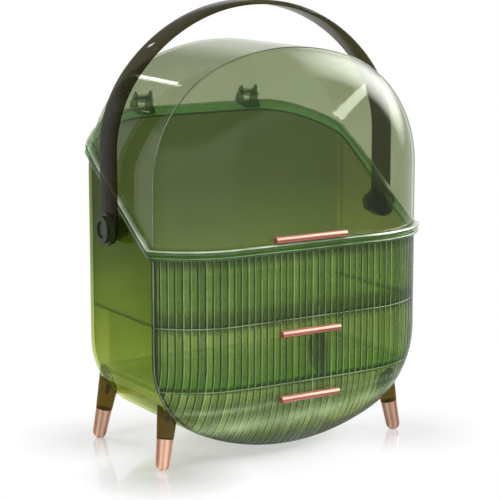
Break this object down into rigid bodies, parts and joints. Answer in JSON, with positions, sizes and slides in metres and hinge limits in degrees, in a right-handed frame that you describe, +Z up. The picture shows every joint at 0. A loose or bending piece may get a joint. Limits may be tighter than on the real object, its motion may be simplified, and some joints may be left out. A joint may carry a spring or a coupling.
{
  "type": "makeup organizer",
  "caption": "Egg-shaped see-through makeup organizer with hinged dome lid, fluted drawers, carrying handle and splayed metal-tipped legs.",
  "frame": {"origin": "centre of the box's footprint, on the surface that the feet stand on", "axes": "+X to the right seen from the front, +Y to the back, +Z up"},
  "size_m": [0.3342, 0.23, 0.4395],
  "materials": {
    "green_shell": "see-through polished moulding",
    "green_front": "see-through fluted moulding",
    "clear_lid": "clear polished moulding",
    "smoky_handle": "dark see-through moulding",
    "amber_leg": "see-through olive amber moulding",
    "rose_cap": "satin rose gold plating",
    "rose_bar": "polished rose gold anodising",
    "steel": "plain"
  },
  "bodies": {
    "casing": {"casing": "green_shell", "rim_collar": "green_shell", "top_tray": "green_front", "divider_shelf": "green_front", "hinge_pin_left": "steel", "hinge_pin_right": "steel", "knob_left": "smoky_handle", "knob_right": "smoky_handle", "pivot_nut_left": "green_shell", "pivot_nut_right": "green_shell", "leg_front_left": "amber_leg", "leg_front_right": "amber_leg", "leg_rear_left": "amber_leg", "leg_rear_right": "amber_leg", "cap_front_left": "rose_cap", "cap_front_right": "rose_cap", "cap_rear_left": "rose_cap", "cap_rear_right": "rose_cap", "leg_screws": "steel"},
    "lid": {"lid": "clear_lid", "lid_bar": "rose_bar", "lid_bar_screws": "steel"},
    "middle_drawer": {"middle_drawer": "green_front", "middle_drawer_bar": "rose_bar", "middle_bar_screws": "steel"},
    "lower_drawer": {"lower_drawer": "green_front", "lower_drawer_bar": "rose_bar", "lower_bar_screws": "steel"},
    "handle": {"handle": "smoky_handle"}
  },
  "joints": [
    {"name": "lid_hinge", "type": "hinge", "parent": "casing", "child": "lid", "pos_m": [0, 0.10698, 0.33687], "axis": [-1, 0, 0], "range_deg": [0, 90]},
    {"name": "handle_swing", "type": "hinge", "parent": "casing", "child": "handle", "pos_m": [0, -0.002, 0.227], "axis": [-1, 0, 0], "range_deg": [0, 138]},
    {"name": "middle_drawer_slide", "type": "slide", "parent": "casing", "child": "middle_drawer", "axis": [0, -1, 0], "range_m": [0, 0.11]},
    {"name": "lower_drawer_slide", "type": "slide", "parent": "casing", "child": "lower_drawer", "axis": [0, -1, 0], "range_m": [0, 0.11]}
  ],
  "couplings": [
    {"joint": "handle_swing", "follows": "lid_hinge", "ratio": 1.5333}
  ]
}
